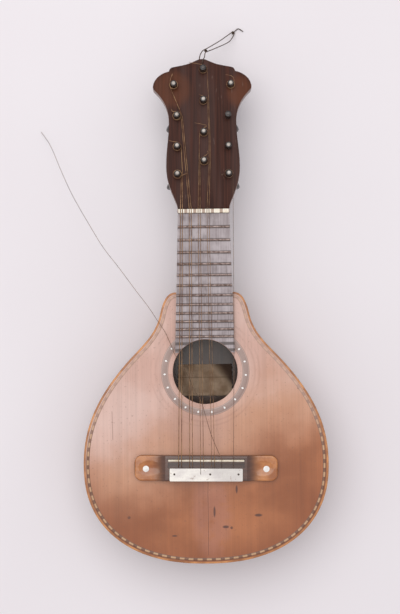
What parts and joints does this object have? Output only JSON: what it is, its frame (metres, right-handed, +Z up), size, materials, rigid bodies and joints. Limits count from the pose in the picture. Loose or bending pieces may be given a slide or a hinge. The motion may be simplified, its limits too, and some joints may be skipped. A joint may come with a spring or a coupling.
{
  "type": "bandurria",
  "caption": "Small plucked folk instrument with a rounded body, soundhole, paired metal strings, turning pegs through a tilted head, and a loose broken string",
  "frame": {"origin": "middle of the footprint, on the surface that the flat back rests on", "axes": "+Z up out of the soundboard, +Y from the tail towards the head, +X to the treble side"},
  "size_m": [0.3078, 0.5783, 0.0853],
  "materials": {
    "soundboard": "aged spruce under worn varnish",
    "body_wood": "varnished dark wood",
    "inner_wood": "raw wood",
    "binding": "orange-brown varnished strip",
    "inlay": "mosaic of light and dark wood and pearl",
    "neck_wood": "satin varnish",
    "head_veneer": "glossy dark reddish brown",
    "fretboard": "worn dark wood",
    "fret_metal": "dull worn metal",
    "bone": "aged bone",
    "pearl": "pearly white",
    "bridge_wood": "glossy orange-brown varnish",
    "peg_wood": "polished black, pale domed ends",
    "string_metal": "tarnished bronze wire",
    "twine": "dark brown twisted twine"
  },
  "bodies": {
    "root": {"soundboard": "soundboard", "back": "body_wood", "side_left": "body_wood", "side_right": "body_wood", "neck_block": "inner_wood", "tail_block": "inner_wood", "lining_top": "inner_wood", "lining_back": "inner_wood", "top_bar_upper": "inner_wood", "top_bar_lower": "inner_wood", "back_bar_upper": "inner_wood", "back_bar_lower": "inner_wood", "binding": "binding", "purfling": "inlay", "rosette": "inlay", "neck": "neck_wood", "head_veneer": "head_veneer", "fretboard": "fretboard", "fret_01": "fret_metal", "fret_02": "fret_metal", "fret_03": "fret_metal", "fret_04": "fret_metal", "fret_05": "fret_metal", "fret_06": "fret_metal", "fret_07": "fret_metal", "fret_08": "fret_metal", "fret_09": "fret_metal", "fret_10": "fret_metal", "fret_11": "fret_metal", "fret_12": "fret_metal", "nut": "bone", "saddle": "bone", "tie_plate": "pearl", "bridge_dot_left": "pearl", "bridge_dot_right": "pearl", "bridge": "bridge_wood", "string_1a": "string_metal", "string_1b": "string_metal", "string_2a": "string_metal", "string_2b": "string_metal", "string_3a": "string_metal", "string_3b": "string_metal", "string_4a": "string_metal", "string_4b": "string_metal", "string_6a": "string_metal", "loose_string": "string_metal", "hanging_cord": "twine"},
    "peg_left_1": {"peg_left_1": "peg_wood"},
    "peg_centre_1": {"peg_centre_1": "peg_wood"},
    "peg_right_1": {"peg_right_1": "peg_wood", "string_stub": "string_metal"},
    "peg_left_2": {"peg_left_2": "peg_wood"},
    "peg_centre_2": {"peg_centre_2": "peg_wood"},
    "peg_right_2": {"peg_right_2": "peg_wood"},
    "peg_left_3": {"peg_left_3": "peg_wood"},
    "peg_centre_3": {"peg_centre_3": "peg_wood"},
    "peg_right_3": {"peg_right_3": "peg_wood"},
    "peg_left_4": {"peg_left_4": "peg_wood"},
    "peg_centre_4": {"peg_centre_4": "peg_wood"},
    "peg_right_4": {"peg_right_4": "peg_wood"}
  },
  "joints": [
    {"name": "turn_left_1", "type": "hinge", "parent": "root", "child": "peg_left_1", "pos_m": [-0.0303, 0.23873, 0.06004], "axis": [0, 0.1305, 0.9914], "continuous": true},
    {"name": "turn_centre_1", "type": "hinge", "parent": "root", "child": "peg_centre_1", "pos_m": [0.0011, 0.25549, 0.05783], "axis": [0, 0.1305, 0.9914], "continuous": true},
    {"name": "turn_right_1", "type": "hinge", "parent": "root", "child": "peg_right_1", "pos_m": [0.0303, 0.23873, 0.06004], "axis": [0, 0.1305, 0.9914], "continuous": true},
    {"name": "turn_left_2", "type": "hinge", "parent": "root", "child": "peg_left_2", "pos_m": [-0.0271, 0.20522, 0.06445], "axis": [0, 0.1305, 0.9914], "continuous": true},
    {"name": "turn_centre_2", "type": "hinge", "parent": "root", "child": "peg_centre_2", "pos_m": [0.0011, 0.22168, 0.06229], "axis": [0, 0.1305, 0.9914], "continuous": true},
    {"name": "turn_right_2", "type": "hinge", "parent": "root", "child": "peg_right_2", "pos_m": [0.0271, 0.20522, 0.06445], "axis": [0, 0.1305, 0.9914], "continuous": true},
    {"name": "turn_left_3", "type": "hinge", "parent": "root", "child": "peg_left_3", "pos_m": [-0.0271, 0.1722, 0.0688], "axis": [0, 0.1305, 0.9914], "continuous": true},
    {"name": "turn_centre_3", "type": "hinge", "parent": "root", "child": "peg_centre_3", "pos_m": [0.0011, 0.18727, 0.06681], "axis": [0, 0.1305, 0.9914], "continuous": true},
    {"name": "turn_right_3", "type": "hinge", "parent": "root", "child": "peg_right_3", "pos_m": [0.0271, 0.1722, 0.0688], "axis": [0, 0.1305, 0.9914], "continuous": true},
    {"name": "turn_left_4", "type": "hinge", "parent": "root", "child": "peg_left_4", "pos_m": [-0.0271, 0.14246, 0.07271], "axis": [0, 0.1305, 0.9914], "continuous": true},
    {"name": "turn_centre_4", "type": "hinge", "parent": "root", "child": "peg_centre_4", "pos_m": [0.0011, 0.15664, 0.07085], "axis": [0, 0.1305, 0.9914], "continuous": true},
    {"name": "turn_right_4", "type": "hinge", "parent": "root", "child": "peg_right_4", "pos_m": [0.0271, 0.14246, 0.07271], "axis": [0, 0.1305, 0.9914], "continuous": true}
  ]
}
